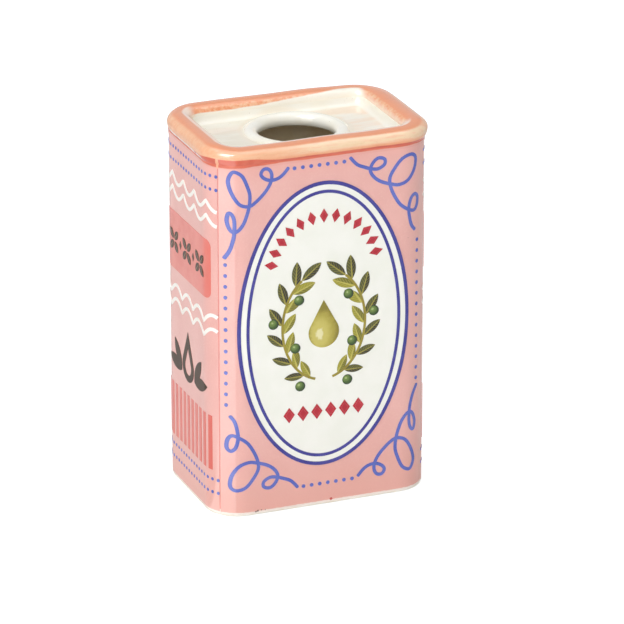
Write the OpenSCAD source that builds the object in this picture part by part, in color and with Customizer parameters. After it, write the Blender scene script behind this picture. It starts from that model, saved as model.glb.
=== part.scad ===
// Olive oil tin in glazed ceramic: an upright body on a rounded rectangle, a sunken top deck
// with a low round mouth, a rolled rim all round, and fired-on coats and transfers in relief.
// Millimetres, +Z up. The origin is the middle of the foot on the table plane.
// The wide front wall faces -Y, the back +Y, and the narrow side walls face -X and +X.

/* [Body] */
// Width of the body over its front wall
body_w = 100; // [92:1:116]
// Depth of the body over its side walls
body_d = 68; // [62:1:80]
// Height from the table to the top of the walls
wall_h = 160.5; // [152:0.5:180]
// Outer radius of the upright corners
corner_r = 15; // [14:0.5:18]
// Thickness of the cast walls
wall_t = 4; // [3:0.25:5]

/* [Foot and floor] */
// Height of the foot ring
foot_h = 3; // [2:0.25:5]
// Width of the foot ring's tread
foot_w = 7; // [6:0.5:9]
// Radius of the foot ring's lower outer edge
foot_edge_r = 0.9; // [0.4:0.1:1.5]
// Thickness of the floor
floor_t = 4.5; // [3:0.5:7]

/* [Rim roll] */
// Height of the rolled rim
roll_h = 7; // [6:0.5:9]
// Reach of the roll beyond the outer face of the wall
roll_overhang = 1.6; // [0.8:0.1:3]
// Width of the flat run on top of the roll, between its two round edges
roll_flat = 4.1; // [2:0.1:4.5]
// Width of the roll's flat seat on the wall and the deck
roll_seat = 8; // [7:0.25:8.5]

/* [Top deck and mouth] */
// Thickness of the deck
deck_t = 4; // [3:0.5:6]
// Radius of the cove where the deck runs up into the roll
cove_r = 4; // [3:0.25:4.5]
// Clear diameter of the mouth
mouth_d = 32.8; // [24:0.2:34]
// Radius of the rounded lip of the mouth
lip_r = 3; // [2.5:0.1:3.5]
// Height of the lip above the deck
lip_rise = 1.2; // [0.6:0.1:2]
// Width of the low flare round the lip
flare_w = 7.6; // [6:0.1:9]
// Wall thickness of the mouth collar
collar_t = 4.6; // [4:0.2:5]
// Length of the collar below the deck's underside
collar_drop = 0.5; // [0.5:0.5:6]

/* [Coats] */
// Thickness of the coloured coats on the walls
coat_t = 0.2; // [0.15:0.05:0.4]
// Height of bare foot left below the coats
bare_foot_h = 1.2; // [0.8:0.1:1.8]
// Height of the dark glaze line under the roll
line_h = 1.7; // [1:0.1:3]
// How far the glaze line stands out from the wall
line_t = 0.45; // [0.3:0.05:0.7]
// Angle round each upright corner at which the front coat meets the side coat
seam_angle = 51; // [40:0.5:60]
// Open seam left between two coats
seam_gap = 0.25; // [0.1:0.05:0.5]

/* [Transfers] */
// Thickness of one layer of printed enamel
print_t = 0.15; // [0.1:0.05:0.3]
// Shift of the front transfer to the side, as it was laid by hand
front_shift = -1; // [-2:0.25:2]

/* [Medallion] */
// Half width of the medallion at its outer ring
medallion_a = 38.6; // [34:0.2:40]
// Half height of the medallion at its outer ring
medallion_b = 64.2; // [56:0.2:66]
// Height of the medallion's middle above the middle of the coat
medallion_rise = 4; // [2:0.25:5]
// Stroke of the outer ring
ring_outer_w = 1.6; // [1:0.1:2]
// Stroke of the inner ring
ring_inner_w = 1.4; // [0.8:0.1:2]
// Distance between the middles of the two rings
ring_gap = 3.9; // [3.2:0.1:5]

/* [Borders] */
// Diameter of a border dot on the front
front_dot_d = 1.7; // [1.2:0.1:2]
// Spacing of the dots in the front's upright columns
column_pitch = 4.91; // [3.5:0.01:6]
// Spacing of the dots in the front's level rows
row_pitch = 3.77; // [3:0.01:5]
// Distance of the dot columns from the seam
column_inset = 4.2; // [4:0.1:6]
// Distance of the top dot row from the upper edge of the coat
top_row_inset = 2.4; // [2:0.1:4]
// Distance of the bottom dot row from the lower edge of the coat
bottom_row_inset = 9; // [6:0.25:10]
// Diameter of a border dot on the side walls
side_dot_d = 1.5; // [1:0.1:1.8]
// Spacing of the dots along the side walls
side_dot_pitch = 3.16; // [2.5:0.02:4]
// Distance between the two dotted lines of a pair
dot_line_gap = 6; // [5:0.25:7]
// Distance of the upper pair of dotted lines from the upper edge of the coat
side_top_inset = 4; // [3:0.25:5]

/* [Corner flourishes] */
// Stroke of the flourishes
flourish_w = 1.5; // [1:0.1:1.8]
// Reach of a flourish from the seam towards the middle of the wall
flourish_reach = 36; // [30:0.5:37]
// Reach of a flourish along the seam
flourish_drop = 40; // [34:0.5:42]
// How far beyond the seam the reach of a flourish starts
flourish_start = 0.6; // [0:0.05:1]
// Space between the end of a flourish and the first dot
tail_gap = 2.9; // [2:0.1:4]

/* [Front ornaments] */
// Radius of the arched band
arch_r = 24.5; // [20:0.25:25.5]
// Half the angle that the arched band covers
arch_half_angle = 78; // [50:1:82]
// Number of lozenges in the arched band
arch_count = 13; // [7:1:15]
// Length of the lozenges in the arched band
arch_lozenge_l = 6.4; // [4:0.2:7]
// Width of the lozenges in the arched band
arch_lozenge_w = 3.8; // [2:0.1:4]
// Height of the arch's centre above the medallion's middle
arch_rise = 25; // [20:0.5:27]
// Number of lozenges in the level band
band_count = 6; // [3:1:7]
// Height of the lozenges in the level band
band_lozenge_h = 7.2; // [4:0.2:8]
// Width of the lozenges in the level band
band_lozenge_w = 5.2; // [3:0.2:5.8]
// Spacing of the lozenges in the level band
band_pitch = 6.4; // [6:0.1:7]
// Distance of the level band below the medallion's middle
band_fall = 39.7; // [37:0.25:42]
// Half width of the leaf wreath at its stems
wreath_a = 19; // [16:0.5:20]
// Half height of the leaf wreath at its stems
wreath_b = 25; // [22:0.5:26]
// Leaves along each side of a wreath branch
leaf_count = 6; // [4:1:6]
// Length of a wreath leaf
leaf_l = 11.5; // [8:0.5:12]
// Width of a wreath leaf
leaf_w = 4.4; // [3:0.2:5]
// Stroke of the wreath's stems
stem_w = 1.1; // [0.8:0.1:1.6]
// Diameter of a wreath berry
berry_d = 4.6; // [3:0.2:5]
// Radius of the round end of the oil drop
drop_r = 7; // [5:0.25:8]

/* [Side ornaments] */
// Distance between two cusps of the wavy lines
wave_pitch = 13.2; // [10:0.1:16]
// Depth of the wavy lines
wave_depth = 4.25; // [2:0.25:5]
// Stroke of the wavy lines
wave_w = 1.6; // [1:0.1:2]
// Distance between the two wavy lines of a pair
wave_gap = 6.4; // [5:0.1:7]
// Length of the panel on a side wall, measured round the corners
panel_l = 50.8; // [40:0.2:52]
// Height of the panel
panel_h = 26.5; // [20:0.5:28]
// Corner radius of the panel
panel_r = 3.2; // [1:0.1:5]
// Height of the panel's middle above the middle of the coat
panel_rise = 32.2; // [31:0.2:33]
// Distance from the panel to the wavy lines above and below it
wave_margin = 7; // [5.5:0.25:7.5]
// Shift of the upper wavy lines along the wall
wave_shift = 2.7; // [0:0.1:4]
// Radius of the rosettes in the panel
rosette_r = 6.6; // [5:0.2:8]
// Width of a rosette petal
petal_w = 3.4; // [2:0.2:4]
// Spacing of the rosettes
rosette_pitch = 15.5; // [15:0.25:17]
// Space between the ends of the wavy lines and the seam
wave_end_gap = 0.3; // [0.2:0.05:1]
// Width of a side stripe
stripe_w = 2.6; // [1.5:0.1:3.2]
// Height of the side stripes
stripe_h = 25; // [18:0.5:26]
// Spacing of the side stripes
stripe_pitch = 4.85; // [4:0.05:6]
// Distance of the stripes above the dotted lines
stripe_margin = 4.3; // [3:0.1:6]
// Height of the drop in the side sprig
sprig_h = 23; // [16:0.5:24]
// Length of the side sprig's leaves
sprig_leaf_l = 15; // [10:0.5:16]
// Width of the side sprig's leaves
sprig_leaf_w = 5.6; // [4:0.2:6]

/* [Hidden] */

// Colours as fired
bare_clay = [0.96, 0.94, 0.9];
cream = [0.98, 0.96, 0.9];
terracotta = [0.93, 0.65, 0.49];
line_red = [0.85, 0.42, 0.36];
pink = [0.95, 0.73, 0.69];
print_white = [0.97, 0.97, 0.93];
print_blue = [0.33, 0.31, 0.62];
soft_blue = [0.46, 0.5, 0.8];
print_red = [0.74, 0.13, 0.2];
coral = [0.93, 0.58, 0.53];
olive_dark = [0.3, 0.3, 0.17];
olive_green = [0.45, 0.5, 0.18];
olive_gold = [0.6, 0.55, 0.18];

// Rim roll, seen in section: u runs inwards from the outer face of the wall
roll_r = roll_h / 2;
roll_mid_z = wall_h + roll_r;
roll_outer_u = roll_r - roll_overhang;
roll_inner_u = roll_outer_u + roll_flat;
// The cove's void overlaps the roll a little, so that the deck ends against it with a real edge
cove_bite = 0.15;
cove_mid_z = wall_h + cove_r;
cove_reach = roll_r + cove_r - cove_bite;
cove_u = roll_inner_u + sqrt(cove_reach * cove_reach - (cove_r - roll_r) * (cove_r - roll_r));
cove_top_z = roll_mid_z + 0.2;

// Mouth, seen in section: r runs outwards from the axis
mouth_r = mouth_d / 2;
collar_r = mouth_r + collar_t;
lip_mid_r = mouth_r + lip_r;
lip_mid_z = wall_h + lip_rise - lip_r;
flare_r = lip_mid_r + flare_w;
flare_drop = lip_r - lip_rise;
// Radius of the hollow curve that touches the deck at flare_r and the round of the lip
flare_hollow_r = (flare_w * flare_w + flare_drop * flare_drop - lip_r * lip_r) / (2 * (lip_r - flare_drop));

// Coats
coat_bottom = bare_foot_h;
coat_top = wall_h - line_h;
coat_mid = (coat_bottom + coat_top) / 2;
front_flat = body_w / 2 - corner_r;
side_flat = body_d / 2 - corner_r;
// Distances along the wall from the middle of a face to the seam
front_seam_s = front_flat + corner_r * seam_angle * PI / 180;
side_seam_s = side_flat + corner_r * (90 - seam_angle) * PI / 180;
// Layers, as distances out from the wall
first_layer = coat_t;
second_layer = coat_t + print_t;
third_layer = coat_t + 2 * print_t;

// Front transfer
medallion_z = coat_mid + medallion_rise;
field_a = medallion_a - ring_outer_w / 2;
field_b = medallion_b - ring_outer_w / 2;
inner_a = medallion_a - ring_gap;
inner_b = medallion_b - ring_gap;
column_s = front_seam_s - column_inset;
flourish_s = front_seam_s + flourish_start;
// The lower flourishes and dots stand on this line, as the upper ones hang from the edge of the coat
flourish_base_z = coat_bottom + bottom_row_inset - 1;

// The two flourishes, as their lines run from the middle of the wall to the seam. Each point is its distance
// from the seam and from the edge, in hundredths of the flourish's two reaches.
tall_flourish = [
    [91, 5], [85, 11], [78, 15], [69, 16], [61, 13], [57, 8], [60, 3], [66, 3], [70, 8], [70, 16],
    [65, 25], [57, 33], [49, 39], [42, 42], [32, 40], [25, 33], [19, 22], [17, 12], [21, 4], [26, 3],
    [34, 8], [40, 20], [43, 30], [42, 42], [39, 52], [35, 61], [29, 68], [23, 70], [18, 66], [15, 57],
    [17, 49], [21, 50], [24, 57], [24, 71], [22, 81], [18, 91], [12, 99]
];
wide_flourish = [
    [102, 3], [94, 11], [85, 15], [76, 18], [67, 19], [59, 15], [59, 9], [67, 7], [74, 12], [77, 20],
    [72, 28], [63, 34], [51, 38], [40, 40], [28, 36], [19, 25], [17, 13], [24, 8], [36, 11], [46, 21],
    [52, 31], [51, 41], [46, 52], [38, 63], [27, 70], [19, 72], [14, 67], [13, 58], [18, 54], [24, 58],
    [27, 68], [26, 78], [23, 88], [18, 94]
];

// Side transfers
dot_low_z = coat_bottom + bottom_row_inset;
dot_high_z = coat_top - side_top_inset;
panel_z = coat_mid + panel_rise;
wave_reach = side_seam_s - wave_end_gap;
upper_wave_z = panel_z + panel_h / 2 + wave_margin + wave_depth;
lower_wave_z = panel_z - panel_h / 2 - wave_margin - wave_depth;
stripe_low_z = dot_low_z + dot_line_gap + stripe_margin;
sprig_z = (stripe_low_z + stripe_h + lower_wave_z - wave_gap) / 2;

// Place on the outline of the wall, seen square to a face, for a distance s along it
function wrapped(s, flat) =
    abs(s) <= flat ? s : sign(s) * (flat + corner_r * sin(min(89, (abs(s) - flat) * 180 / (PI * corner_r))));
function front_point(p) = [wrapped(p[0] + front_shift, front_flat), p[1]];
function side_point(p) = [wrapped(p[0], side_flat), p[1]];

// Outline of a stroke of width w along a list of points
function stroke(points, w) =
    let(
        last = len(points) - 1,
        normals = [for (k = [0 : last])
            let(d = points[min(k + 1, last)] - points[max(k - 1, 0)]) [-d[1], d[0]] / norm(d)]
    )
    concat(
        [for (k = [0 : last]) points[k] + normals[k] * w / 2],
        [for (k = [last : -1 : 0]) points[k] - normals[k] * w / 2]
    );

// Plan of the body, moved inwards by inset
module plan(inset) {
    r = corner_r - inset;
    square([body_w - 2 * corner_r, body_d - 2 * inset], center = true);
    square([body_w - 2 * inset, body_d - 2 * corner_r], center = true);
    for (sx = [-1, 1])
        for (sy = [-1, 1])
            translate([sx * front_flat, sy * side_flat]) circle(r, $fn = 64);
}

// Upright shell between two insets of the plan
module shell(inset_out, inset_in, z_low, z_high) {
    translate([0, 0, z_low])
        linear_extrude(z_high - z_low)
            difference() {
                plan(inset_out);
                plan(inset_in);
            }
}

// Runs a section all round the plan. The section is drawn with u inwards and z upwards.
module run_round() {
    for (turn = [0, 1]) {
        rotate([0, 0, 180 * turn]) {
            translate([-front_flat, -body_d / 2, 0])
                rotate([90, 0, 90])
                    linear_extrude(2 * front_flat) children();
            translate([body_w / 2, -side_flat, 0])
                rotate([90, 0, 180])
                    linear_extrude(2 * side_flat) children();
            for (side = [0, 1])
                translate([(1 - 2 * side) * front_flat, side_flat, 0])
                    rotate([0, 0, 90 * side])
                        rotate_extrude(angle = 90, $fn = 64)
                            translate([corner_r, 0]) mirror([1, 0]) children();
        }
    }
}

// Layer of enamel on a wall, drawn as seen from outside.
// The front is turned 0, the right side 90 and the left side -90.
module layer(turn, near, far) {
    intersection() {
        rotate([0, 0, turn])
            rotate([90, 0, 0]) linear_extrude(body_w) children();
        shell(-far, -near, coat_bottom, coat_top);
    }
}

// Puts a round peg square to the wall at a distance s along it and a height z
module peg(s, z, flat, half_depth, d) {
    angle = max(0, abs(s) - flat) * 180 / (PI * corner_r);
    translate([sign(s) * min(abs(s), flat), corner_r - half_depth, z])
        rotate([0, 0, sign(s) * angle])
            translate([0, d - corner_r, 0])
                rotate([90, 0, 0]) cylinder(d = d, h = 2 * d, $fn = 24);
}

// Body
module foot_ring() {
    color(bare_clay)
        run_round()
            difference() {
                square([foot_w, foot_h]);
                difference() {
                    square([foot_edge_r, foot_edge_r]);
                    translate([foot_edge_r, foot_edge_r]) circle(foot_edge_r, $fn = 48);
                }
            }
}

module base_floor() {
    color(cream)
        translate([0, 0, foot_h])
            linear_extrude(floor_t) plan(wall_t);
}

module body_wall() {
    color(pink) shell(0, wall_t, foot_h, wall_h);
}

// Rim and deck
module roll_section() {
    translate([roll_outer_u, roll_mid_z]) circle(roll_r, $fn = 96);
    translate([roll_inner_u, roll_mid_z]) circle(roll_r, $fn = 96);
    translate([roll_outer_u, wall_h]) square([roll_flat, roll_h]);
    translate([0, wall_h]) square([roll_seat, roll_r]);
}

module rim_roll() {
    color(terracotta) run_round() roll_section();
}

module cove_section() {
    difference() {
        translate([roll_seat, wall_h]) square([cove_u - roll_seat, cove_top_z - wall_h]);
        translate([roll_inner_u, roll_mid_z]) circle(roll_r, $fn = 96);
        translate([cove_u, cove_mid_z]) circle(cove_r, $fn = 96);
    }
}

// Half section of the mouth with its lip and flare, from the axis outwards
module mouth_section() {
    difference() {
        union() {
            translate([mouth_r, wall_h - deck_t - collar_drop])
                square([collar_t, deck_t + collar_drop]);
            translate([lip_mid_r, wall_h - deck_t]) square([flare_w, deck_t + lip_rise]);
        }
        // Round of the lip
        difference() {
            translate([mouth_r - 1, lip_mid_z]) square([lip_r + 1, 2 * lip_r]);
            translate([lip_mid_r, lip_mid_z]) circle(lip_r, $fn = 96);
        }
        // Hollow of the flare
        translate([flare_r, wall_h + flare_hollow_r]) circle(flare_hollow_r, $fn = 256);
    }
}

module top_deck() {
    color(cream)
        difference() {
            union() {
                translate([0, 0, wall_h - deck_t])
                    linear_extrude(deck_t) plan(wall_t);
                run_round() cove_section();
            }
            translate([0, 0, wall_h - deck_t - 1]) cylinder(deck_t + 2, r = collar_r, $fn = 128);
        }
}

module mouth_collar() {
    color(cream) rotate_extrude($fn = 128) mouth_section();
}

module glaze_line() {
    color(line_red) shell(-line_t, 0, coat_top, wall_h);
}

// Coats
module wide_coat(face) {
    s = wrapped(front_seam_s - seam_gap / 2, front_flat);
    color(pink)
        intersection() {
            shell(-coat_t, 0, coat_bottom, coat_top);
            translate([-s, face < 0 ? -body_d : 0, 0]) cube([2 * s, body_d, wall_h]);
        }
}

module narrow_coat(face) {
    s = wrapped(side_seam_s - seam_gap / 2, side_flat);
    color(pink)
        intersection() {
            shell(-coat_t, 0, coat_bottom, coat_top);
            translate([face < 0 ? -body_w : 0, -s, 0]) cube([body_w, 2 * s, wall_h]);
        }
}

// Front transfer
module front_ellipse(a, b) {
    steps = 112;
    polygon([for (k = [0 : steps - 1])
        front_point([a * cos(360 * k / steps), medallion_z + b * sin(360 * k / steps)])]);
}

module front_ring(a, b, w) {
    difference() {
        front_ellipse(a + w / 2, b + w / 2);
        front_ellipse(a - w / 2, b - w / 2);
    }
}

module medallion_field() {
    color(print_white) layer(0, first_layer, second_layer) front_ellipse(field_a, field_b);
}

module medallion_outer_ring() {
    color(print_blue) layer(0, first_layer, third_layer) front_ring(medallion_a, medallion_b, ring_outer_w);
}

module medallion_inner_ring() {
    color(print_blue) layer(0, second_layer, third_layer) front_ring(inner_a, inner_b, ring_inner_w);
}

// Point on the smooth line through four points, between the middle two
function spline(a, b, c, d, u) =
    b + u / 2 * (c - a + u * (2 * a - 5 * b + 4 * c - d + u * (3 * (b - c) + d - a)));
function flourish_on_wall(p, sx, sz) =
    let(rise = p[1] * flourish_drop / 100)
    front_point([
        sx * (flourish_s - p[0] * flourish_reach / 100),
        sz > 0 ? coat_top - rise : flourish_base_z + rise
    ]);

// A flourish is drawn as a thin line from point to point, and is then grown to its stroke with round ends
module flourish(path, sx, sz) {
    thin = flourish_w / 5;
    steps = 4;
    last = len(path) - 1;
    offset(r = (flourish_w - thin) / 2, $fn = 16)
        for (n = [0 : last - 1]) {
            a = path[max(n - 1, 0)];
            d = path[min(n + 2, last)];
            polygon(stroke([for (m = [0 : steps])
                flourish_on_wall(spline(a, path[n], path[n + 1], d, m / steps), sx, sz)], thin));
        }
}

// The flourish in the upper left corner comes again, turned upside down, in the lower right one
module front_flourishes() {
    color(soft_blue)
        layer(0, first_layer, second_layer)
            for (sx = [-1, 1])
                for (sz = [-1, 1])
                    flourish(sx * sz < 0 ? tall_flourish : wide_flourish, sx, sz);
}

// Rows of dots fill the space between the ends of the flourishes
function steps_between(gap, pitch) = floor(gap / pitch + 0.01);
module front_dots() {
    tall_tail = flourish_s - tall_flourish[0][0] * flourish_reach / 100;
    wide_tail = flourish_s - wide_flourish[0][0] * flourish_reach / 100;
    row_steps = steps_between(tall_tail + wide_tail - 2 * tail_gap, row_pitch);
    row_mid = (tall_tail - wide_tail) / 2;
    column_low = flourish_base_z + flourish_drop + tail_gap;
    column_high = coat_top - flourish_drop - tail_gap;
    column_steps = steps_between(column_high - column_low, column_pitch);
    column_start = (column_low + column_high - column_steps * column_pitch) / 2;
    color(soft_blue)
        intersection() {
            union() {
                for (sz = [-1, 1])
                    for (n = [0 : row_steps])
                        peg(front_shift - sz * row_mid + (n - row_steps / 2) * row_pitch,
                            sz > 0 ? coat_top - top_row_inset : coat_bottom + bottom_row_inset,
                            front_flat, body_d / 2, front_dot_d);
                for (side = [-1, 1])
                    for (n = [0 : column_steps])
                        peg(side * column_s + front_shift, column_start + n * column_pitch,
                            front_flat, body_d / 2, front_dot_d);
            }
            shell(-second_layer, -first_layer, coat_bottom, coat_top);
        }
}

module lozenge(l, w) {
    polygon([[-w / 2, 0], [0, -l / 2], [w / 2, 0], [0, l / 2]]);
}

// Leaf with its foot at the origin, pointing up: two arcs of one radius
module leaf(l, w) {
    r = (l * l / 4 + w * w / 4) / w;
    intersection() {
        translate([r - w / 2, l / 2]) circle(r, $fn = 96);
        translate([w / 2 - r, l / 2]) circle(r, $fn = 96);
    }
}

module arched_lozenges() {
    color(print_red)
        layer(0, second_layer, third_layer)
            translate([front_shift, medallion_z + arch_rise])
                for (n = [0 : arch_count - 1])
                    rotate(arch_half_angle * (1 - 2 * n / (arch_count - 1)))
                        translate([0, arch_r]) lozenge(arch_lozenge_l, arch_lozenge_w);
}

module level_lozenges() {
    color(print_red)
        layer(0, second_layer, third_layer)
            translate([front_shift, medallion_z - band_fall])
                for (n = [0 : band_count - 1])
                    translate([(n - (band_count - 1) / 2) * band_pitch, 0])
                        lozenge(band_lozenge_h, band_lozenge_w);
}

// Wreath of two branches that rise from the bottom and leave the top open. The angles go round from
// the side of the wreath, upwards.
wreath_low = -78;
wreath_high = 58;
function wreath_point(angle, side) = [side * wreath_a * cos(angle), wreath_b * sin(angle)];
function wreath_heading(angle, side) = atan2(wreath_b * cos(angle), -side * wreath_a * sin(angle)) - 90;

module at_wreath() {
    translate([front_shift, medallion_z]) children();
}

module stem(side) {
    steps = 30;
    polygon(stroke([for (k = [0 : steps])
        wreath_point(wreath_low + (wreath_high - wreath_low) * k / steps, side)], stem_w));
}

module berries(side) {
    for (n = [0 : 3])
        let(angle = -62 + 34 * n)
            translate(wreath_point(angle, side) * (n % 2 == 0 ? 1.22 : 0.78)) circle(d = berry_d, $fn = 32);
}

// Leaves along the outer (1) or the inner (-1) edge of a branch. They grow longer up the branch.
module branch_leaves(side, edge) {
    span = wreath_high - wreath_low;
    for (n = [0 : leaf_count - 1])
        let(
            angle = wreath_low + span * (n + 0.55 + 0.2 * edge) / (leaf_count + 0.2),
            size = 0.8 + 0.2 * n / (leaf_count - 1)
        )
            translate(wreath_point(angle, side))
                rotate(wreath_heading(angle, side) - 38 * edge * side) leaf(leaf_l * size, leaf_w * size);
    if (edge > 0)
        translate(wreath_point(wreath_high, side))
            rotate(wreath_heading(wreath_high, side)) leaf(leaf_l, leaf_w);
}

module wreath_stems() {
    color(olive_gold)
        layer(0, second_layer, third_layer)
            at_wreath() {
                stem(-1);
                stem(1);
            }
}

module wreath_berries() {
    color(olive_green)
        layer(0, second_layer, third_layer)
            at_wreath()
                for (side = [-1, 1])
                    berries(side);
}

module wreath_outer_leaves() {
    color(olive_dark)
        layer(0, second_layer, third_layer)
            at_wreath()
                for (side = [-1, 1])
                    difference() {
                        branch_leaves(side, 1);
                        stem(side);
                        berries(side);
                    }
}

module wreath_inner_leaves() {
    color(olive_gold)
        layer(0, second_layer, third_layer)
            at_wreath()
                for (side = [-1, 1])
                    difference() {
                        branch_leaves(side, -1);
                        stem(side);
                        berries(side);
                        branch_leaves(side, 1);
                    }
}

// Drop with a round end at the origin and its point at the top
module drop(r, h) {
    tip = h - r;
    lean = asin(r / tip);
    circle(r, $fn = 96);
    polygon([[0, tip], [-r * cos(lean), r * sin(lean)], [r * cos(lean), r * sin(lean)]]);
}

module oil_drop() {
    color(olive_gold)
        layer(0, second_layer, third_layer)
            at_wreath() translate([0, -drop_r / 2]) drop(drop_r, 3.1 * drop_r);
}

// Side transfers
module side_dots(turn) {
    steps = floor(2 * wave_reach / side_dot_pitch);
    color(soft_blue)
        intersection() {
            rotate([0, 0, turn])
                for (z = [dot_low_z, dot_low_z + dot_line_gap, dot_high_z - dot_line_gap, dot_high_z])
                    for (n = [0 : steps])
                        peg((n - steps / 2) * side_dot_pitch, z, side_flat, body_w / 2, side_dot_d);
            shell(-second_layer, -first_layer, coat_bottom, coat_top);
        }
}

// Wavy line with its cusps at z and its bows on the other side, up for 1 and down for -1
module wave(z, bows, shift) {
    steps = 64;
    polygon(stroke([for (k = [0 : steps])
        let(s = wave_reach * (2 * k / steps - 1))
            side_point([s, z + bows * wave_depth * abs(sin(180 * (s - shift) / wave_pitch + 90))])], wave_w));
}

module side_waves(turn) {
    color(print_white)
        layer(turn, first_layer, second_layer)
            for (line = [0, 1]) {
                wave(upper_wave_z + line * wave_gap, -1, wave_shift);
                wave(lower_wave_z - line * wave_gap, 1, 0);
            }
}

module side_panel(turn) {
    half = wrapped(panel_l / 2, side_flat);
    color(coral)
        layer(turn, first_layer, second_layer)
            translate([0, panel_z]) {
                square([2 * (half - panel_r), panel_h], center = true);
                square([2 * half, panel_h - 2 * panel_r], center = true);
                for (sx = [-1, 1])
                    for (sz = [-1, 1])
                        translate([sx * (half - panel_r), sz * (panel_h / 2 - panel_r)])
                            circle(panel_r, $fn = 48);
            }
}

module rosette() {
    for (n = [0 : 3])
        rotate(45 + 90 * n) translate([0, 0.8]) leaf(rosette_r - 0.8, petal_w);
}

module side_rosettes(turn) {
    color(olive_dark)
        layer(turn, second_layer, third_layer)
            translate([0, panel_z]) {
                for (n = [-1 : 1])
                    translate([n * rosette_pitch, 0]) rosette();
                for (n = [-1, 1])
                    translate([n * rosette_pitch / 2, 0]) lozenge(0.6 * rosette_r, 0.7 * petal_w);
            }
}

module side_sprig(turn) {
    r = sprig_h * 0.3;
    color(olive_dark)
        layer(turn, first_layer, second_layer)
            translate([0, sprig_z + r - sprig_h / 2]) {
                difference() {
                    drop(r, sprig_h);
                    drop(r * 0.55, sprig_h * 0.55);
                }
                for (sx = [-1, 1])
                    for (lean = [34, 78])
                        translate([sx * (r + 0.8), -r * 0.6])
                            rotate(-sx * lean) leaf(sprig_leaf_l, sprig_leaf_w);
            }
}

module side_stripes(turn) {
    steps = 2 * floor(panel_l / 2 / stripe_pitch);
    color(coral)
        layer(turn, first_layer, second_layer)
            for (n = [0 : steps]) {
                s = (n - steps / 2) * stripe_pitch;
                low = wrapped(s - stripe_w / 2, side_flat);
                high = wrapped(s + stripe_w / 2, side_flat);
                translate([low, stripe_low_z]) square([high - low, stripe_h]);
            }
}

foot_ring();
base_floor();
body_wall();
top_deck();
mouth_collar();
rim_roll();
glaze_line();
wide_coat(-1);  // front_coat
wide_coat(1);  // back_coat
narrow_coat(-1);  // left_coat
narrow_coat(1);  // right_coat
medallion_field();
medallion_outer_ring();
medallion_inner_ring();
front_flourishes();
front_dots();
arched_lozenges();
level_lozenges();
wreath_stems();
wreath_outer_leaves();
wreath_inner_leaves();
wreath_berries();
oil_drop();
side_dots(-90);  // left_dots
side_waves(-90);  // left_waves
side_panel(-90);  // left_panel
side_rosettes(-90);  // left_rosettes
side_sprig(-90);  // left_sprig
side_stripes(-90);  // left_stripes
side_dots(90);  // right_dots
side_waves(90);  // right_waves
side_panel(90);  // right_panel
side_rosettes(90);  // right_rosettes
side_sprig(90);  // right_sprig
side_stripes(90);  // right_stripes
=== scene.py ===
import math

import bmesh
import bpy
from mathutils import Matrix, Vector, noise


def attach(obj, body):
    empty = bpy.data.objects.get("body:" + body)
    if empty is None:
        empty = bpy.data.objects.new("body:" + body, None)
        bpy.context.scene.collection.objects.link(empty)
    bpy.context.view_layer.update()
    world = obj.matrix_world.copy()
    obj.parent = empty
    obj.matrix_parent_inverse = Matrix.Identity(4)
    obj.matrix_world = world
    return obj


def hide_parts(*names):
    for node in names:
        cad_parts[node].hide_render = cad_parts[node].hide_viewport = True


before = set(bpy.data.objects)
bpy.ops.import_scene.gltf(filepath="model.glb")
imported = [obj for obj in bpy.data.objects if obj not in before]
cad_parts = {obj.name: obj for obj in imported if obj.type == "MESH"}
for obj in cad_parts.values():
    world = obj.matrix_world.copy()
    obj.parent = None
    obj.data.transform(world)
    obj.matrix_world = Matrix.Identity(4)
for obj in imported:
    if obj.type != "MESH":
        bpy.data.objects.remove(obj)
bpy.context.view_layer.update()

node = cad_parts
MM = 0.001


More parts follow.
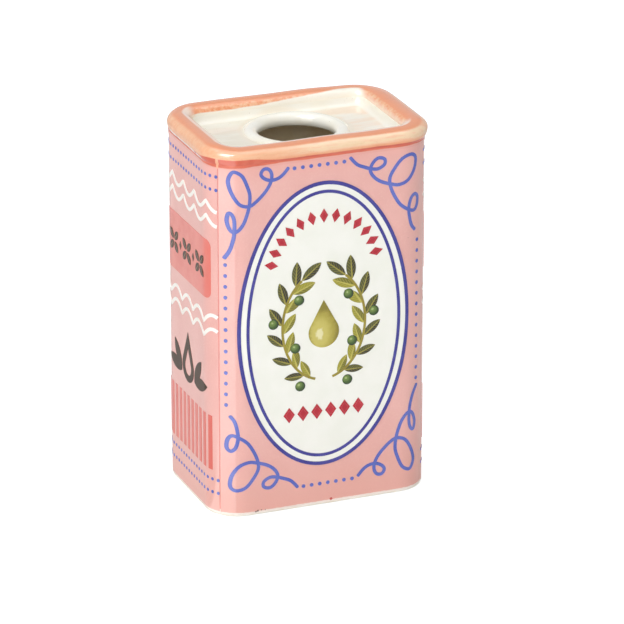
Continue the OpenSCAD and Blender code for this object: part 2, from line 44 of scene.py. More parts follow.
# The foot ring is the bare fired clay that the body stands on. It was wiped clean of glaze before
# firing, so it is matt, chalky and a little gritty, and a thin line of it shows under the coats.
class Wire:
    """A socket in a material's tree. Arithmetic on it adds Math nodes, and node() adds others."""

    # The sockets of a Mix node that belong to colours
    FACTOR, COLOUR_A, COLOUR_B, MIXED = 0, 6, 7, 2

    def __init__(self, tree, socket=None):
        self.tree, self.socket = tree, socket

    def node(self, kind, settings, sockets, out=0):
        new = self.tree.nodes.new(kind)
        for name, value in settings.items():
            setattr(new, name, value)
        for name, value in sockets.items():
            if isinstance(value, Wire):
                self.tree.links.new(value.socket, new.inputs[name])
            elif value is not None:
                new.inputs[name].default_value = value
        return Wire(self.tree, new.outputs[out])

    def maths(self, operation, a, b=None):
        return self.node("ShaderNodeMath", {"operation": operation}, {0: a, 1: b})

    def __add__(self, other):
        return self.maths("ADD", self, other)

    def __sub__(self, other):
        return self.maths("SUBTRACT", self, other)

    def __mul__(self, other):
        return self.maths("MULTIPLY", self, other)

    def __rsub__(self, other):
        return self.maths("SUBTRACT", other, self)

    def __abs__(self):
        return self.maths("ABSOLUTE", self)

    __radd__ = __add__
    __rmul__ = __mul__

    def step(self, low, high):
        """0 below low, 1 above high and smooth between. The two may stand the other way round."""
        if low > high:
            return 1 - self.step(high, low)
        sockets = {"Value": self, "From Min": low, "From Max": high}
        return self.node("ShaderNodeMapRange", {"interpolation_type": "SMOOTHSTEP"}, sockets)

    def between(self, a, b):
        """Colour a where this wire is 0, colour b where it is 1."""
        a, b = (c if isinstance(c, Wire) else (*c, 1) for c in (a, b))
        sockets = {self.FACTOR: self, self.COLOUR_A: a, self.COLOUR_B: b}
        return self.node("ShaderNodeMix", {"data_type": "RGBA"}, sockets, self.MIXED)

    def axis(self, name):
        return self.node("ShaderNodeSeparateXYZ", {}, {"Vector": self}, name)

    def scaled(self, factors):
        return self.node("ShaderNodeVectorMath", {"operation": "MULTIPLY"}, {0: self, 1: factors})

    def apart(self, centre):
        settings = {"operation": "DISTANCE"}
        return self.node("ShaderNodeVectorMath", settings, {0: self, 1: centre}, "Value")

    def apart_in_plan(self, x, y):
        """Distance from an upright line, seen from above."""
        return self.scaled((1.0, 1.0, 0.0)).apart((x, y, 0.0))

    def noise(self, scale, detail=2.0, roughness=0.5):
        sockets = {"Vector": self, "Scale": scale, "Detail": detail, "Roughness": roughness}
        return self.node("ShaderNodeTexNoise", {}, sockets, "Fac")


def fired(red, green, blue):
    """A colour as the eye names it, 0 to 255, as the linear values that a shader takes."""
    shares = (red / 255, green / 255, blue / 255)
    return tuple(s / 12.92 if s < 0.04045 else ((s + 0.055) / 1.055) ** 2.4 for s in shares)


def new_finish(name, roughness, coat=0.0):
    """A material with its Principled shader, and the place on the piece in millimetres."""
    material = bpy.data.materials.new(name)
    material.use_nodes = True
    shader = material.node_tree.nodes["Principled BSDF"]
    shader.inputs["Roughness"].default_value = roughness
    shader.inputs["IOR"].default_value = 1.5
    shader.inputs["Coat Weight"].default_value = coat
    shader.inputs["Coat Roughness"].default_value = 0.03
    here = Wire(material.node_tree).node("ShaderNodeTexCoord", {}, {}, "Object")
    return material, shader, here.scaled((1 / MM, 1 / MM, 1 / MM))


def connect(shader, wire, socket):
    wire.tree.links.new(wire.socket, shader.inputs[socket])


def bump(shader, height, distance_mm):
    sockets = {"Height": height, "Distance": distance_mm * MM}
    connect(shader, height.node("ShaderNodeBump", {}, sockets), "Normal")


def dress(names, material):
    """Gives a finish to pieces of the CAD that keep their shape. Each has one material slot."""
    for name in names:
        node[name].data.materials[0] = material


# Where a noise turns softly from one tone of a glaze to the next
CLOUDED = (0.35, 0.7)
CHALK, BISQUE, SAND = fired(250, 247, 238), fired(240, 233, 218), fired(206, 194, 172)
biscuit, shader, place = new_finish("bare_clay", roughness=0.75)
grit = place.noise(1.6, 4, 0.7)
colour = place.noise(0.12, 3).step(*CLOUDED).between(CHALK, BISQUE)
colour = (grit.step(0.6, 0.78) * 0.3).between(colour, SAND)
connect(shader, colour, "Base Color")
bump(shader, grit, 0.06)
dress(["foot_ring"], biscuit)


# The wall and floor are one casting. Inside they carry a thin cream wash, browner towards the
# floor. Outside the wall shows only as the deep pink of the open seams between the coats.
FLAT_X, FLAT_Y, CORNER = 35.0, 19.0, 15.0


def depth_in_plan(place):
    """Distance inwards from the outer face of the wall, in millimetres, seen from above."""
    over_x = abs(place.axis("X")) - FLAT_X
    over_y = abs(place.axis("Y")) - FLAT_Y
    out_x, out_y = place.maths("MAXIMUM", over_x, 0.0), place.maths("MAXIMUM", over_y, 0.0)
    corner = place.maths("SQRT", out_x * out_x + out_y * out_y)
    within = place.maths("MINIMUM", place.maths("MAXIMUM", over_x, over_y), 0.0)
    return CORNER - corner - within


MOTTLED = (0.35, 0.65)
WASH, WASH_BUFF, WASH_BROWN = fired(247, 232, 200), fired(240, 221, 184), fired(230, 206, 166)
SEAM_PINK, SEAM_RED = fired(224, 126, 114), fired(214, 110, 102)
lining, shader, place = new_finish("wall_glaze", roughness=0.35, coat=0.2)
runs = place.scaled((1.0, 1.0, 0.3)).noise(0.12, 3)
inside = runs.step(*CLOUDED).between(WASH, WASH_BUFF)
inside = (place.axis("Z").step(120.0, 20.0) * 0.4).between(inside, WASH_BROWN)
seam = place.noise(0.2, 3).step(*MOTTLED).between(SEAM_PINK, SEAM_RED)
connect(shader, depth_in_plan(place).step(0.4, 0.6).between(seam, inside), "Base Color")
bump(shader, place.noise(0.5, 2), 0.05)
dress(["base_floor", "body_wall"], lining)


# The sunken deck is glazed cream. The glaze lies thick and white in the cove that runs up into
# the rim and on the flare round the mouth, and lets the clay's peach tint through where it is thin
# on the flat between. Painted shade greys the thin flat towards the left, darkens the cream in the
# hollow round the lip, and darkens a band at the foot of the rim's inner side.
WHITE, CREAM = fired(252, 251, 242), fired(250, 247, 232)
THIN_SHADED_IVORY, THIN_PEACH = fired(240, 233, 214), fired(250, 228, 204)
HOLLOW_SHADE_CREAM, CREASE_SHADE_CREAM = fired(240, 226, 202), fired(238, 228, 206)
BORE_BROWN, PIT_BROWN = fired(196, 170, 128), fired(176, 150, 120)
# The larger pinholes, each with its centre and radius
PINHOLES = [((-28.3, 23.5, 160.5), 0.35), ((-35.4, 16.6, 160.5), 0.3), ((22.0, 24.0, 160.5), 0.25)]
cream, shader, place = new_finish("cream_glaze", roughness=0.14, coat=0.4)
height = place.axis("Z")
from_axis = place.apart_in_plan(0.0, 0.0)
depth = depth_in_plan(place)
colour = place.noise(0.05, 3, 0.6).step(0.4, 0.65).between(WHITE, CREAM)
flat = from_axis.step(21.5, 26.0) * depth.step(11.0, 14.5)
streak = place.scaled((0.3, 1.0, 1.0)).noise(0.16, 3)
thin = flat * (0.25 + 0.75 * streak.step(0.38, 0.62))
# Painted shade: the thin flat is a greyer ivory towards the left, and shows the clay's peach
# towards the right
tint_and_shade = place.axis("X").step(-20.0, 16.0).between(THIN_SHADED_IVORY, THIN_PEACH)
colour = (thin * 0.85).between(colour, tint_and_shade)
# Painted shade: a darker cream in the hollow where the lip's round meets the deck
hollow_shade = from_axis.step(26.0, 24.0) * from_axis.step(22.4, 23.4)
colour = (hollow_shade * 0.5).between(colour, HOLLOW_SHADE_CREAM)
# Painted shade: a darker cream band on the deck at the foot of the rim's inner side
rim_foot_band = depth.step(12.4, 10.8) * depth.step(9.0, 9.8)
colour = (rim_foot_band * 0.3).between(colour, CREASE_SHADE_CREAM)
bore = height.step(157.1, 156.5) * from_axis.step(20.4, 19.2)
colour = (bore * 0.9).between(colour, BORE_BROWN)
pits = place.noise(1.1, 2).step(0.735, 0.75)
for centre, radius in PINHOLES:
    pits = place.maths("MAXIMUM", pits, place.apart(centre).step(radius, radius * 0.6))
colour = (pits * 0.5).between(colour, PIT_BROWN)
connect(shader, colour, "Base Color")
bump(shader, place.noise(0.14, 2) + pits * -0.3, 0.14)
dress(["top_deck"], cream)


# The collar of the mouth was thrown by itself and luted into the deck. Its lip is a fat soft round
# of thick cream glaze, which runs out into the low flare.
LIP_MIDDLE, LIP_HALF, LIP_Z, LIP_UP = 20.0, 3.6, 158.9, 3.1
ROUND_SIDES, LIP_STEPS = 40, 128
WELD = 0.01 * MM


def close_up(shape):
    """Joins a drawn or turned shape's last ring to its first, faces it outwards and smooths it."""
    bmesh.ops.remove_doubles(shape, verts=shape.verts, dist=WELD)
    bmesh.ops.recalc_face_normals(shape, faces=shape.faces)
    for face in shape.faces:
        face.smooth = True


def set_down(shape, name):
    """The finished shape as an object of the scene."""
    mesh = bpy.data.meshes.new(name)
    shape.to_mesh(mesh)
    shape.free()
    piece = bpy.data.objects.new(name, mesh)
    bpy.context.scene.collection.objects.link(piece)
    return piece


collar = bmesh.new()
section = bmesh.ops.create_circle(collar, segments=ROUND_SIDES, radius=1.0)["verts"]
for vert in section:
    inwards, up = vert.co.x, vert.co.y
    vert.co = Vector((LIP_MIDDLE + LIP_HALF * inwards, 0.0, LIP_Z + LIP_UP * up)) * MM
bmesh.ops.spin(collar, geom=collar.edges[:] + section, cent=(0, 0, 0), axis=(0, 0, 1),
               angle=math.tau, steps=LIP_STEPS, use_merge=True)
close_up(collar)
glazed_collar = set_down(collar, "glazed_collar")
glazed_collar.data.materials.append(cream)
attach(glazed_collar, "root")
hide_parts("mouth_collar")


# The rolled rim was shaped by hand: it is lower along the front and slightly uneven all round. It
# is dipped in terracotta glaze, which breaks to cream on the front's face, stays dark on top, and
# pools red in the groove under the roll.
ROLL_MIDDLE, ROLL_HALF, ROLL_Z, ROLL_UP = 3.95, 5.5499, 164.0, 3.5
STRAIGHT_STEPS, CORNER_STEPS, SHARP_ANGLE = 12, 14, 0.8
# The glaze that fills the groove slants down to the wall, and ends just below the wall's top
SLANT, SLANT_CURVE, SLANT_REACH = 1.1, 2.2, 1.013
rim = bmesh.new()
section = bmesh.ops.create_circle(rim, segments=ROUND_SIDES, radius=1.0)["verts"]
for vert in section:
    inwards, up = vert.co.x, vert.co.y
    width = ROLL_HALF * inwards
    if up <= 0 and inwards > -0.01:
        # Underneath, the roll is flat as far as its round inner edge
        width = min(1.0, inwards * 4.0) * (ROLL_HALF - ROLL_UP) + ROLL_UP * inwards
    elif up <= 0:
        width = SLANT * (-up) ** SLANT_CURVE - ROLL_HALF
        up *= SLANT_REACH
    from_face = ROLL_MIDDLE + width
    vert.co = Vector((-FLAT_X, -FLAT_Y - CORNER + from_face, ROLL_Z + ROLL_UP * up)) * MM
edges = rim.edges[:]
turned = 0.0
for run, (x, y) in ((FLAT_X, (FLAT_X, -FLAT_Y)), (FLAT_Y, (FLAT_X, FLAT_Y)),
                    (FLAT_X, (-FLAT_X, FLAT_Y)), (FLAT_Y, (-FLAT_X, -FLAT_Y))):
    stride = Vector((math.cos(turned), math.sin(turned), 0.0)) * (2 * run / STRAIGHT_STEPS * MM)
    for _ in range(STRAIGHT_STEPS):
        drawn = bmesh.ops.extrude_edge_only(rim, edges=edges)["geom"]
        moved = [part for part in drawn if isinstance(part, bmesh.types.BMVert)]
        edges = [part for part in drawn if isinstance(part, bmesh.types.BMEdge)
                 and all(vert in moved for vert in part.verts)]
        bmesh.ops.translate(rim, verts=moved, vec=stride)
    drawn = bmesh.ops.spin(rim, geom=edges + moved, cent=(x * MM, y * MM, 0.0), axis=(0, 0, 1),
                           angle=math.pi / 2, steps=CORNER_STEPS)["geom_last"]
    edges = [part for part in drawn if isinstance(part, bmesh.types.BMEdge)]
    turned += math.pi / 2
close_up(rim)


def ease(value, low, high):
    """0 below low, 1 above high and smooth between."""
    share = max(0.0, min(1.0, (value - low) / (high - low)))
    return share * share * (3 - 2 * share)


for vert in rim.verts:
    x, y, z = vert.co / MM
    out = Vector((math.copysign(max(0.0, abs(x) - FLAT_X), x),
                  math.copysign(max(0.0, abs(y) - FLAT_Y), y)))
    if out.length < 0.01:
        out = Vector((0.0, y)) if abs(y) - FLAT_Y > abs(x) - FLAT_X else Vector((x, 0.0))
    depth = CORNER - out.length
    out.normalize()
    front, left = ease(-y, 20.0, 32.0), ease(-x, 40.0, 48.0)
    back_right = ease(y, 14.0, 30.0) * ease(x, 10.0, 42.0)
    back_left = ease(y, 14.0, 30.0) * ease(-x, 34.0, 46.0)
    # The share of the roll's rise that the hand pressed down, most along the front
    sag = 0.27 * front + 0.24 * back_right * (1 - front)
    sag += 0.08 * noise.noise(Vector((x, y, 4.0)) * 0.05)
    if z > ROLL_Z:
        z = ROLL_Z + (z - ROLL_Z) * (1 - sag)
    # The millimetres by which it pushed the outer side in, most at the back left corner
    inset = 0.12 * left + 1.1 * back_left + 0.6 * back_right
    inset += 0.35 * noise.noise(Vector((x, y, 9.0)) * 0.07)
    outer = max(0.0, (ROLL_MIDDLE - depth) / ROLL_HALF)
    shift = out * max(0.0, inset) * outer
    vert.co = Vector((x - shift.x, y - shift.y, min(z, ROLL_Z + ROLL_UP))) * MM
for edge in rim.edges:
    edge.smooth = edge.calc_face_angle(0.0) < SHARP_ANGLE
rolled_rim = set_down(rim, "rolled_rim")
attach(rolled_rim, "root")
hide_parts("rim_roll")

APRICOT, PALE_APRICOT, ORANGE = fired(242, 166, 124), fired(245, 178, 136), fired(238, 146, 98)
GRAIN_BROWN, SPECK_BROWN = fired(228, 142, 108), fired(150, 96, 76)
BREAK_CREAM, BREAK_PEACH = fired(252, 230, 196), fired(246, 208, 168)
SIDE_PEACH, INNER_PEACH = fired(247, 196, 156), fired(249, 208, 168)
EDGE_HIGHLIGHT_WHITE, SKIRT_WHITE = fired(252, 236, 222), fired(252, 246, 232)
POOL_RED, POOL_BRICK = fired(210, 92, 68), fired(220, 108, 82)
BARED_CLAY, DRIP_PEACH = fired(250, 240, 226), fired(244, 186, 148)
# The red glaze lies deepest about this place in plan, at the left front corner
POOL_X, POOL_Y = -42.0, -30.0
terracotta, shader, place = new_finish("terracotta_glaze", roughness=0.16, coat=0.3)
depth = depth_in_plan(place)
height = place.axis("Z")
east, north = place.axis("X"), place.axis("Y")
patch = place.noise(0.06, 3, 0.6)
grain = place.noise(0.9, 4, 0.7)
wave = (place.noise(0.11, 3) - 0.5) * 2.0
colour = patch.step(*MOTTLED).between(APRICOT, PALE_APRICOT)
crown = depth.step(0.4, 2.0) * height.step(163.0, 164.5)
colour = (crown * 0.8).between(colour, ORANGE)
colour = (grain.step(0.45, 0.75) * 0.4).between(colour, GRAIN_BROWN)
# Cream breaks along the front, and a paler peach on the other sides
outside = (height + wave * 0.5).step(161.8, 163.8) * (depth + wave * 0.3).step(1.5, 0.1)
front = north.step(-26.0, -31.0) * east.step(-34.0, -2.0)
streak = place.scaled((0.16, 1.0, 1.0)).noise(0.55, 4, 0.65)
broken = outside * front * (0.45 + 0.55 * streak.step(0.35, 0.6))
colour = broken.between(colour, streak.step(0.4, 0.7).between(BREAK_CREAM, BREAK_PEACH))
peach = outside * (1 - front) * (0.35 + 0.4 * streak.step(0.4, 0.6))
colour = peach.between(colour, SIDE_PEACH)
# Inner side: mottled peach, with a thin pale edge over the deck at the front and left that is
# partly the glaze thinning and partly a painted highlight, and white glaze that runs up from the
# cove at the back
inner = depth.step(7.0, 8.0)
mottle = place.noise(0.45, 4, 0.7)
colour = (inner * mottle.step(*MOTTLED) * 0.75).between(colour, INNER_PEACH)
near = place.maths("MAXIMUM", north.step(-20.0, -26.0), east.step(-36.0, -41.0))
# Painted highlight, with some thinning glaze, along the inner edge at the front and left
brink_highlight = (depth + wave * 0.3).step(5.0, 6.3) * height.step(163.4, 164.2)
colour = (brink_highlight * near * 0.85).between(colour, EDGE_HIGHLIGHT_WHITE)
run_up = height + wave * 0.35 - east.step(-26.0, 36.0) * 2.2
skirt = run_up.step(164.9, 164.4) * depth.step(5.6, 6.6)
right = east.step(39.0, 42.0)
colour = (skirt * (1 - near) * (1 - right)).between(colour, SKIRT_WHITE)
# Red pooled under the roll, with one pale drip in it, and clay bared along the left
corner = place.apart_in_plan(POOL_X, POOL_Y).step(24.0, 6.0)
rim_foot_band = (height + wave * 0.35 - corner * 1.9).step(161.7, 161.2) * depth.step(2.0, 0.9)
colour = rim_foot_band.between(colour, patch.step(0.4, 0.6).between(POOL_RED, POOL_BRICK))
ragged = height + (place.noise(0.35, 4) - 0.5) * 1.2
bare = ragged.step(162.1, 161.7) * east.step(-49.4, -50.2) * north.step(-22.0, -17.0)
colour = (bare * place.noise(0.2, 3).step(0.3, 0.5) * 0.9).between(colour, BARED_CLAY)
drip = place.apart_in_plan(-47.2, -29.2).step(1.0, 0.55)
colour = (drip * rim_foot_band * 0.8).between(colour, DRIP_PEACH)
specks = place.noise(1.7, 2).step(0.72, 0.74)
colour = (specks * 0.45).between(colour, SPECK_BROWN)
connect(shader, colour, "Base Color")
bump(shader, place.noise(0.16, 2) + mottle * 0.12 + grain * 0.04, 0.22)
rolled_rim.data.materials.append(terracotta)


# The glaze line is where the rim's glaze ran down on to the coats and pooled red under the roll.
# It is a soft bead with an uneven lower edge that hangs lowest at the left front corner.
def line_reach(place):
    """Height of the lower edge of the red glaze, in millimetres."""
    corner = place.apart_in_plan(POOL_X, POOL_Y).step(22.0, 5.0)
    return 159.75 - corner * 0.45 + (place.noise(0.1, 2) - 0.5) * 0.9


LINE_RED, LINE_BRICK = fired(214, 96, 70), fired(224, 112, 84)
LINE_FADE, LINE_DRIP = fired(238, 176, 166), fired(244, 188, 150)
line, shader, place = new_finish("line_glaze", roughness=0.12, coat=0.5)
colour = place.noise(0.09, 3).step(*MOTTLED).between(LINE_RED, LINE_BRICK)
fade = (place.axis("Z") - line_reach(place)).step(0.3, -0.2)
colour = (fade * 0.92).between(colour, LINE_FADE)
drip = place.apart_in_plan(-46.9, -28.7).step(0.7, 0.3)
colour = (drip * 0.75).between(colour, LINE_DRIP)
connect(shader, colour, "Base Color")
bump(shader, place.noise(0.3, 2), 0.12)
dress(["glaze_line"], line)


# The coats are pale pink glaze poured over the walls and wiped back at the corners, so a thin open
# seam stays there. The glaze is glossy and faintly mottled, with a few specks where grit fired in.
PINK, ROSE, BLUSH = fired(239, 184, 176), fired(234, 176, 168), fired(246, 200, 188)
FOOT_PINK, UNDER_ROLL_SHADE_PINK, WIPED_CLAY = fired(233, 172, 157), fired(240, 168, 158), fired(250, 245, 235)
# Centre, radius and colour of each speck
SPECKS = [((2.5, -34.2, 2.2), 0.8, (192, 52, 54)), ((-32.4, -34.2, 1.7), 0.5, (92, 66, 60)),
          ((-31.5, -34.2, 2.0), 0.55, (84, 60, 54)), ((-29.8, -34.2, 2.1), 0.35, (112, 82, 74)),
          ((-28.0, -34.2, 2.0), 0.3, (140, 100, 92)), ((38.0, -34.0, 118.0), 0.3, (176, 116, 108)),
          ((-50.2, 12.0, 60.0), 0.3, (170, 112, 104)), ((12.0, 34.2, 40.0), 0.4, (164, 96, 90)),
          ((50.2, 4.0, 96.0), 0.35, (164, 96, 90))]
pink, shader, place = new_finish("pink_glaze", roughness=0.06, coat=0.2)
height = place.axis("Z")
colour = place.noise(0.03, 3, 0.55).step(0.35, 0.68).between(PINK, ROSE)
colour = (place.noise(1.3, 3, 0.6).step(0.48, 0.72) * 0.3).between(colour, BLUSH)
colour = (height.step(34.0, 2.0) * 0.6).between(colour, FOOT_PINK)
# Painted shade: a deeper pink under the overhang of the roll
colour = (height.step(150.0, 158.0) * 0.3).between(colour, UNDER_ROLL_SHADE_PINK)
run = (height - line_reach(place)).step(-0.25, 0.2)
colour = (run * 0.9).between(colour, LINE_BRICK)
wiped = (height + (place.noise(0.5, 3) - 0.5) * 0.6).step(2.1, 1.8)
colour = (wiped * 0.85).between(colour, WIPED_CLAY)
for centre, radius, tint_and_shade in SPECKS:
    spot = place.apart(centre) + (place.noise(2.5, 2) - 0.5) * 0.5
    colour = (spot.step(radius, radius * 0.6) * 0.85).between(colour, fired(*tint_and_shade))
connect(shader, colour, "Base Color")
bump(shader, place.noise(0.09, 2), 0.06)
dress(["front_coat", "left_coat", "right_coat", "back_coat"], pink)


# The medallion is a printed transfer: a warm white field with two dark blue rings laid over its
# edge. The rings' ink is a little thin in places, as screen-printed enamel is.
def enamel(name, main, second, roughness=0.16):
    """Fired-on colour: the main tone, clouded with a second one, with the screen's fine grain."""
    material, shader, place = new_finish(name, roughness, coat=0.2)
    cloud, fine = place.noise(0.09, 3), place.noise(2.2, 3, 0.7)
    colour = cloud.step(*CLOUDED).between(fired(*main), fired(*second))
    colour = (fine.step(0.5, 0.8) * 0.35).between(colour, fired(*second))
    connect(shader, colour, "Base Color")
    bump(shader, place.noise(0.12, 2) + fine * 0.12, 0.05)
    return material


dress(["medallion_field"], enamel("white_enamel", main=(249, 249, 241), second=(245, 246, 236)))
blue = enamel("blue_enamel", main=(58, 56, 144), second=(72, 72, 156))
dress(["medallion_outer_ring", "medallion_inner_ring"], blue)


# The corner flourishes and the rows of dots are one soft blue transfer, laid on the front coat
# round the medallion. The side walls have rows of the same dots.
soft_blue = enamel("soft_blue_enamel", main=(84, 100, 188), second=(104, 118, 200))
dress(["front_flourishes", "front_dots", "left_dots", "right_dots"], soft_blue)


# The two rows of red lozenges lie on the medallion's white field, one in an arch over the wreath
# and one level under it. Each has a paler line inside its edge.
def motifs_of(shape):
    """The vertices of each loose motif of a merged layer."""
    found, waiting = [], set(shape.verts)
    for first in shape.verts:
        if first not in waiting:
            continue
        waiting.remove(first)
        motif, edge_of = [], [first]
        while edge_of:
            vert = edge_of.pop()
            motif.append(vert)
            for edge in vert.link_edges:
                other = edge.other_vert(vert)
                if other in waiting:
                    waiting.remove(other)
                    edge_of.append(other)
        found.append(motif)
    return found


ACROSS_FRONT, ACROSS_SIDE = 0, 1
WREATH_MIDDLE, WREATH_RADIUS = Vector((-1.0 * MM, 84.4 * MM)), 22 * MM


def marked_copy(name, new_name, across, upright):
    """A merged copy of a layer of like motifs, with a map of the place within each one. The map
    runs along a motif from foot to tip and across it, or level and up for an upright one."""
    shape = bmesh.new()
    shape.from_mesh(node[name].data)
    bmesh.ops.remove_doubles(shape, verts=shape.verts, dist=WELD)
    where = shape.loops.layers.uv.new("motif")
    for motif in motifs_of(shape):
        spot = {vert: Vector((vert.co[across], vert.co.z)) for vert in motif}
        points = list(spot.values())
        if upright:
            low = Vector((min(p.x for p in points), min(p.y for p in points)))
            high = Vector((max(p.x for p in points), max(p.y for p in points)))
            size = high - low
            mapped = {vert: ((p.x - low.x) / size.x, (p.y - low.y) / size.y)
                      for vert, p in spot.items()}
        else:
            foot, tip = max(((a, b) for a in points for b in points),
                            key=lambda pair: (pair[0] - pair[1]).length)
            # A leaf's foot is its end at the stems, which curve round the wreath's middle
            off_stem = [abs((p - WREATH_MIDDLE).length - WREATH_RADIUS) for p in (foot, tip)]
            if off_stem[0] > off_stem[1]:
                foot, tip = tip, foot
            span = (tip - foot).length
            along = (tip - foot).normalized()
            aside = Vector((-along.y, along.x))
            half = max(abs((p - foot).dot(aside)) for p in points)
            mapped = {vert: ((p - foot).dot(along) / span, 0.5 + (p - foot).dot(aside) / half / 2)
                      for vert, p in spot.items()}
        for face in {face for vert in motif for face in vert.link_faces}:
            for loop in face.loops:
                loop[where].uv = mapped[loop.vert]
    piece = set_down(shape, new_name)
    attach(piece, "root")
    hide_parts(name)
    return piece


def motif_place(place):
    """A motif's own map, the distance along it from foot to tip, and the distance from its middle
    line to its side, both 0 to 1."""
    own = place.node("ShaderNodeUVMap", {"uv_map": "motif"}, {})
    return own, own.axis("X"), abs(own.axis("Y") * 2.0 - 1.0)


CARMINE, CRIMSON, LOZENGE_LINE = fired(178, 16, 38), fired(190, 28, 48), fired(214, 84, 92)
red_ink, shader, place = new_finish("red_enamel", roughness=0.16, coat=0.35)
along, side = motif_place(place)[1:]
colour = place.noise(0.12, 3).step(*CLOUDED).between(CARMINE, CRIMSON)
out = abs(along * 2.0 - 1.0) + side
colour = (out.step(0.5, 0.58) * out.step(0.76, 0.68) * 0.3).between(colour, LOZENGE_LINE)
connect(shader, colour, "Base Color")
bump(shader, place.noise(0.3, 2), 0.04)
for name in ("arched_lozenges", "level_lozenges"):
    piece = marked_copy(name, name + "_inked", ACROSS_FRONT, upright=False)
    piece.data.materials.append(red_ink)


# The wreath is the medallion's picture: two branches of leaves on gold stems. Each leaf has a pale
# midrib and side veins, and is darker towards one edge, as a fine brush would leave it.
def leaf_ink(name, dark, light, vein):
    """Brushed colour for a leaf or petal, with its veins."""
    material, shader, place = new_finish(name, roughness=0.18, coat=0.35)
    own, along, side = motif_place(place)
    brush = (place.noise(0.5, 3, 0.6) - 0.5) * 0.3
    colour = (own.axis("Y") + brush).step(*MOTTLED).between(fired(*dark), fired(*light))
    colour = (along.step(0.55, 1.0) * 0.35).between(colour, fired(*light))
    ribs = place.maths("PINGPONG", along * 7.0 - side * 1.9, 0.5)
    veins = ribs.step(0.16, 0.04) * side.step(0.92, 0.7)
    midrib = (side + along * 0.1).step(0.22, 0.1)
    colour = place.maths("MAXIMUM", veins * 0.55, midrib * 0.85).between(colour, fired(*vein))
    colour = (side.step(0.86, 1.0) * 0.4).between(colour, fired(*dark))
    connect(shader, colour, "Base Color")
    bump(shader, place.noise(0.3, 2), 0.04)
    return material


dark_leaf = leaf_ink("dark_leaf_enamel", dark=(44, 42, 20), light=(78, 80, 32),
                     vein=(170, 160, 66))
piece = marked_copy("wreath_outer_leaves", "outer_leaves_inked", ACROSS_FRONT, upright=False)
piece.data.materials.append(dark_leaf)
gold_leaf = leaf_ink("gold_leaf_enamel", dark=(116, 112, 26), light=(156, 150, 44),
                     vein=(204, 194, 92))
piece = marked_copy("wreath_inner_leaves", "inner_leaves_inked", ACROSS_FRONT, upright=False)
piece.data.materials.append(gold_leaf)
dress(["wreath_stems"], enamel("gold_enamel", main=(160, 146, 52), second=(140, 126, 38)))


# The berries and the drop of oil are shaded round: dark at the lower right, bright where a light
# would catch them at the upper left, with a soft green or gold between.
def round_ink(name, dark, main, light, shine, shine_up, middle_up):
    """Shaded colour for a round motif. The last two are the heights of its shine and its middle,
    as shares of its own height."""
    material, shader, place = new_finish(name, roughness=0.16, coat=0.35)
    own = motif_place(place)[0]
    brush = (place.noise(0.6, 3, 0.6) - 0.5) * 0.16
    lit = own.apart((0.36, shine_up, 0.0)) + brush
    colour = lit.step(0.5, 0.18).between(fired(*main), fired(*light))
    from_middle = own.apart((0.46, middle_up, 0.0)) + brush
    colour = from_middle.step(0.36, 0.5).between(colour, fired(*dark))
    colour = (lit.step(0.15, 0.08) * 0.8).between(colour, fired(*shine))
    connect(shader, colour, "Base Color")
    bump(shader, place.noise(0.3, 2), 0.04)
    return material


green = round_ink("green_enamel", dark=(32, 50, 20), main=(60, 88, 34), light=(106, 134, 58),
                  shine=(176, 194, 122), shine_up=0.66, middle_up=0.52)
piece = marked_copy("wreath_berries", "berries_inked", ACROSS_FRONT, upright=True)
piece.data.materials.append(green)
oil = round_ink("oil_enamel", dark=(138, 126, 40), main=(172, 158, 58), light=(204, 192, 98),
                shine=(240, 234, 186), shine_up=0.3, middle_up=0.34)
piece = marked_copy("oil_drop", "drop_inked", ACROSS_FRONT, upright=True)
piece.data.materials.append(oil)


# The side transfers are a coral panel with dark rosettes between pairs of wavy white lines, a dark
# sprig, and a row of coral stripes. The coral is thinner, and lets the pink through, at its far
# end.
wave_white = enamel("wave_enamel", main=(252, 250, 244), second=(249, 243, 234))
dress(["left_waves", "right_waves"], wave_white)
CORAL, CORAL_RED, CORAL_PINK = fired(234, 138, 126), fired(228, 126, 114), fired(240, 162, 152)
PANEL_RED, STRIPE_RED = fired(230, 110, 96), fired(216, 96, 84)
coral, shader, place = new_finish("coral_enamel", roughness=0.14, coat=0.15)
fine = place.noise(2.0, 3, 0.7)
colour = place.noise(0.1, 3).step(*CLOUDED).between(CORAL, CORAL_RED)
colour = (fine.step(0.5, 0.8) * 0.3).between(colour, CORAL_PINK)
colour = (place.axis("Y").step(-8.0, -24.0) * 0.55).between(colour, PANEL_RED)
colour = (place.axis("Z").step(60.0, 40.0) * 0.6).between(colour, STRIPE_RED)
connect(shader, colour, "Base Color")
bump(shader, place.noise(0.12, 2) + fine * 0.1, 0.05)
dress(["left_panel", "right_panel", "left_stripes", "right_stripes"], coral)
dark = enamel("dark_enamel", main=(74, 58, 44), second=(62, 48, 36), roughness=0.3)
dress(["left_sprig", "right_sprig"], dark)
petals = leaf_ink("petal_enamel", dark=(62, 46, 34), light=(84, 66, 52), vein=(150, 116, 98))
for ink in (dark, petals):
    # The dark ink is drier than the glaze, and mirrors less
    shader = ink.node_tree.nodes["Principled BSDF"]
    shader.inputs["IOR"].default_value = 1.25
    shader.inputs["Coat Weight"].default_value = 0.0
for name in ("left_rosettes", "right_rosettes"):
    piece = marked_copy(name, name + "_inked", ACROSS_SIDE, upright=False)
    piece.data.materials.append(petals)


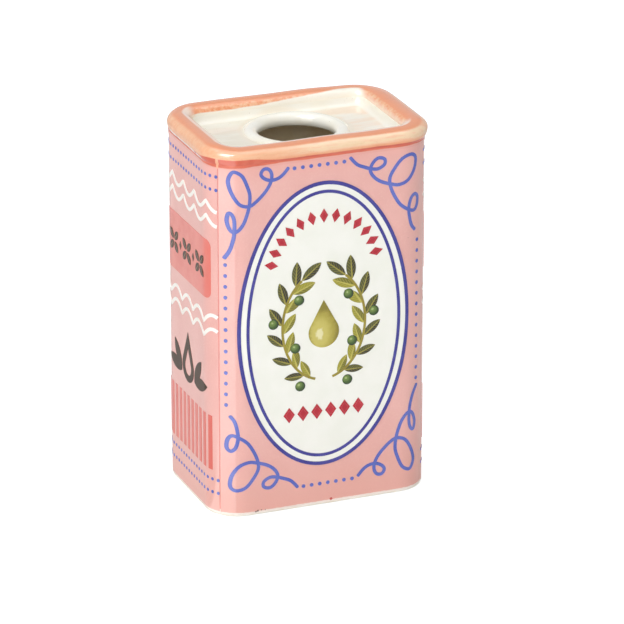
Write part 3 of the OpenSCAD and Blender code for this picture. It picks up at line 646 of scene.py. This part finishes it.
# The tin stands on a plain pale floor in a white room. The camera and the glaze see both brighter
# than they light the tin, so the background is white and the glazes keep their depth of colour.
pale, shader, place = new_finish("pale_floor", roughness=0.9)
seen = place.node("ShaderNodeLightPath", {}, {}, "Is Camera Ray")
mirrored = place.node("ShaderNodeLightPath", {}, {}, "Is Glossy Ray")
shader.inputs["Base Color"].default_value = (0.9, 0.9, 0.9, 1)
shader.inputs["Specular IOR Level"].default_value = 0.0
shader.inputs["Emission Color"].default_value = (1, 1, 1, 1)
connect(shader, seen * 0.5 + mirrored * 0.05, "Emission Strength")
plane = bmesh.new()
bmesh.ops.create_grid(plane, x_segments=1, y_segments=1, size=6.0)
floor = set_down(plane, "floor")
floor.data.materials.append(pale)

world = bpy.data.worlds.new("studio")
world.use_nodes = True
bpy.context.scene.world = world
background = world.node_tree.nodes["Background"]
background.inputs["Color"].default_value = (1, 1, 1, 1)
room = Wire(world.node_tree)
seen = room.node("ShaderNodeLightPath", {}, {}, "Is Camera Ray")
mirrored = room.node("ShaderNodeLightPath", {}, {}, "Is Glossy Ray")
connect(background, 0.42 + seen * 0.58 + mirrored * 0.38, "Strength")


# The light is a tall soft box on the left, a broad fill in front and a soft light overhead. A high
# lamp on the left is there for its glint on the rim, and lights nothing by itself.
def soft_box(name, place, width, height, watts):
    """A lamp that faces the middle of the tin."""
    lamp = bpy.data.lights.new(name, "AREA")
    lamp.shape = "RECTANGLE"
    lamp.size, lamp.size_y, lamp.energy = width, height, watts
    holder = bpy.data.objects.new(name, lamp)
    holder.location = place
    aim = Vector((0.0, 0.0, 0.08)) - Vector(place)
    holder.rotation_euler = aim.to_track_quat("-Z", "Y").to_euler()
    bpy.context.scene.collection.objects.link(holder)
    return holder


soft_box("side_box", (-0.93, -0.75, 0.55), width=0.8, height=1.1, watts=8.5)
soft_box("front_fill", (-0.1, -1.65, 0.9), width=1.2, height=1.2, watts=4.2)
soft_box("top_box", (0.1, 0.3, 1.5), width=1.2, height=1.2, watts=7.3)
glint = soft_box("glint", (-0.60, -0.28, 1.42), width=0.75, height=0.75, watts=24.0)
glint.visible_diffuse = False


# A lit card lies on the floor, a wedge with its point under the left front corner. It shows only
# as the bright upright band that the glaze mirrors at that corner.
CARD_REACH, CARD_SIDES, CARD_FROM, CARD_TO = 0.46, 72, 185, 244
disc = bmesh.new()
bmesh.ops.create_circle(disc, cap_ends=True, cap_tris=True, radius=CARD_REACH, segments=CARD_SIDES)
outside = []
for face in disc.faces:
    x, y = face.calc_center_median().xy
    if not CARD_FROM < math.degrees(math.atan2(y, x)) % 360 < CARD_TO:
        outside.append(face)
bmesh.ops.delete(disc, geom=outside, context="FACES")
bmesh.ops.translate(disc, verts=disc.verts, vec=(-FLAT_X * MM, -FLAT_Y * MM, 0.5 * MM))
low_card = set_down(disc, "low_card")
glow, shader = new_finish("low_card", roughness=1.0)[:2]
shader.inputs["Emission Color"].default_value = (1, 1, 1, 1)
shader.inputs["Emission Strength"].default_value = 2.0
low_card.data.materials.append(glow)
low_card.visible_camera = False
low_card.visible_diffuse = False
low_card.visible_shadow = False


# The camera stands high in front and a little to the left, as the photograph's did
camera = bpy.data.cameras.new("camera")
camera.sensor_width = 36.0
camera.lens = 266.73
camera.clip_end = 50.0
holder = bpy.data.objects.new("camera", camera)
holder.location = (-0.6873, -1.7396, 0.8060)
holder.rotation_euler = Vector((0.3455, 0.8653, -0.3631)).to_track_quat("-Z", "Y").to_euler()
bpy.context.scene.collection.objects.link(holder)
bpy.context.scene.camera = holder
bpy.context.scene.view_settings.view_transform = "Standard"
